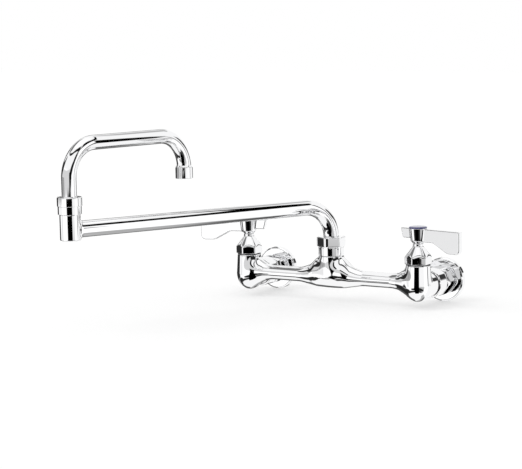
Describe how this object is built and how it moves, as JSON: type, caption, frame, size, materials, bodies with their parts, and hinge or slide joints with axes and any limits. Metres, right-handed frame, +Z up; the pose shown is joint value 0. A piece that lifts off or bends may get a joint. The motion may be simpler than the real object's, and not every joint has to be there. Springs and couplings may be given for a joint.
{
  "type": "wall-mount mixing faucet",
  "caption": "Wall-mount two-valve mixing faucet with wrist-blade handles, flanged threaded inlets and a double-jointed swing spout.",
  "frame": {"origin": "midway between the two supply axes, on the wall face of the inlet flanges", "axes": "+Z up, +Y into the wall along the supply axes, +X towards the cold valve"},
  "size_m": [0.3104, 0.3521, 0.1889],
  "materials": {
    "chrome": "bright polished chrome plate over brass",
    "brass": "machined brass",
    "rubber": "black moulded sealing rubber",
    "acetal": "natural acetal",
    "stainless": "stainless steel",
    "ceramic": "lapped white alumina",
    "index_red": "red glossy button",
    "index_blue": "blue glossy button"
  },
  "bodies": {
    "body": {"faucet_body": "chrome", "spout_nut": "chrome", "spout_thrust_ring": "acetal", "hot_inlet_flange": "chrome", "hot_coupling_washer": "rubber", "hot_coupling_ring": "rubber", "hot_coupling_nut": "chrome", "hot_seat_seal": "rubber", "hot_cartridge_sleeve": "brass", "hot_fixed_disc": "ceramic", "hot_bonnet_gasket": "rubber", "hot_bonnet": "chrome", "cold_inlet_flange": "chrome", "cold_coupling_washer": "rubber", "cold_coupling_ring": "rubber", "cold_coupling_nut": "chrome", "cold_seat_seal": "rubber", "cold_cartridge_sleeve": "brass", "cold_fixed_disc": "ceramic", "cold_bonnet_gasket": "rubber", "cold_bonnet": "chrome"},
    "hot_valve": {"hot_handle": "chrome", "hot_handle_screw": "stainless", "hot_index_button": "index_red", "hot_stem": "brass", "hot_stem_rings": "rubber", "hot_stem_clip": "stainless", "hot_moving_disc": "ceramic"},
    "cold_valve": {"cold_handle": "chrome", "cold_handle_screw": "stainless", "cold_index_button": "index_blue", "cold_stem": "brass", "cold_stem_rings": "rubber", "cold_stem_clip": "stainless", "cold_moving_disc": "ceramic"},
    "primary_spout": {"primary_spout_tube": "chrome", "primary_bearing": "brass", "primary_bearing_ring": "rubber", "swivel_socket": "chrome", "swivel_nut": "chrome", "swivel_thrust_ring": "acetal"},
    "outlet_spout": {"outlet_spout_tube": "chrome", "outlet_bearing": "brass", "outlet_bearing_ring": "rubber", "outlet_adapter": "chrome", "outlet_housing": "chrome", "flow_straightener": "acetal", "outlet_screen": "stainless", "outlet_washer": "rubber"}
  },
  "joints": [
    {"name": "hot_turn", "type": "hinge", "parent": "body", "child": "hot_valve", "pos_m": [-0.1016, -0.0605, 0.0447], "axis": [0, 0, 1], "range_deg": [0, 90]},
    {"name": "cold_turn", "type": "hinge", "parent": "body", "child": "cold_valve", "pos_m": [0.1016, -0.0605, 0.0447], "axis": [0, 0, 1], "range_deg": [-90, 0]},
    {"name": "spout_swing", "type": "hinge", "parent": "body", "child": "primary_spout", "pos_m": [0, -0.0605, 0.038], "axis": [0, 0, 1], "range_deg": [-66.6, 113.4]},
    {"name": "outlet_swing", "type": "hinge", "parent": "primary_spout", "child": "outlet_spout", "pos_m": [-0.12105, -0.34023, 0.104], "axis": [0, 0, 1], "continuous": true}
  ]
}
